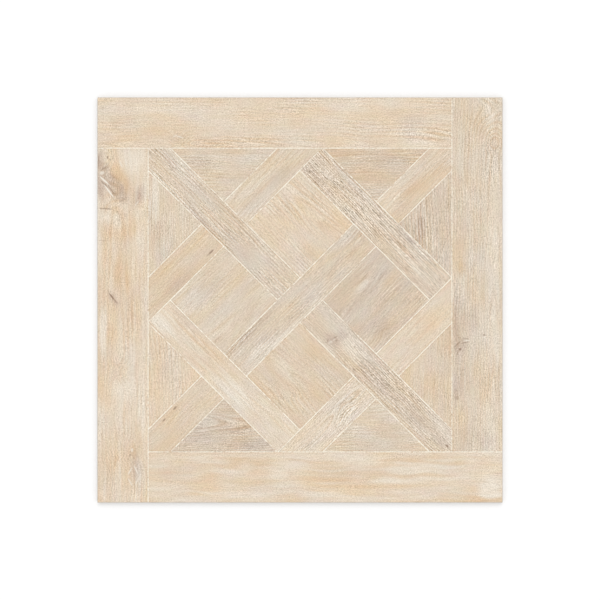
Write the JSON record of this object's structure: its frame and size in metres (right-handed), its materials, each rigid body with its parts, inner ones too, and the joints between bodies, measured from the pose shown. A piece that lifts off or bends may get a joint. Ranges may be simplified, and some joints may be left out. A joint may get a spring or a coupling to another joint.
{
  "type": "wood-look floor tile",
  "caption": "Square porcelain floor tile whose matt face imitates oak parquet: pinwheel border boards round diagonal basket-woven battens, with a ribbed back.",
  "frame": {"origin": "centre of the underside, in the plane that the tile lies on", "axes": "+Z out of the walking face, +X and +Y square to the tile's sides, with +Y towards the top of the picture"},
  "size_m": [0.8, 0.8, 0.01],
  "materials": {
    "porcelain": "matt, printed and textured as pale oak"
  },
  "bodies": {
    "root": {"tile": "porcelain"}
  },
  "joints": []
}
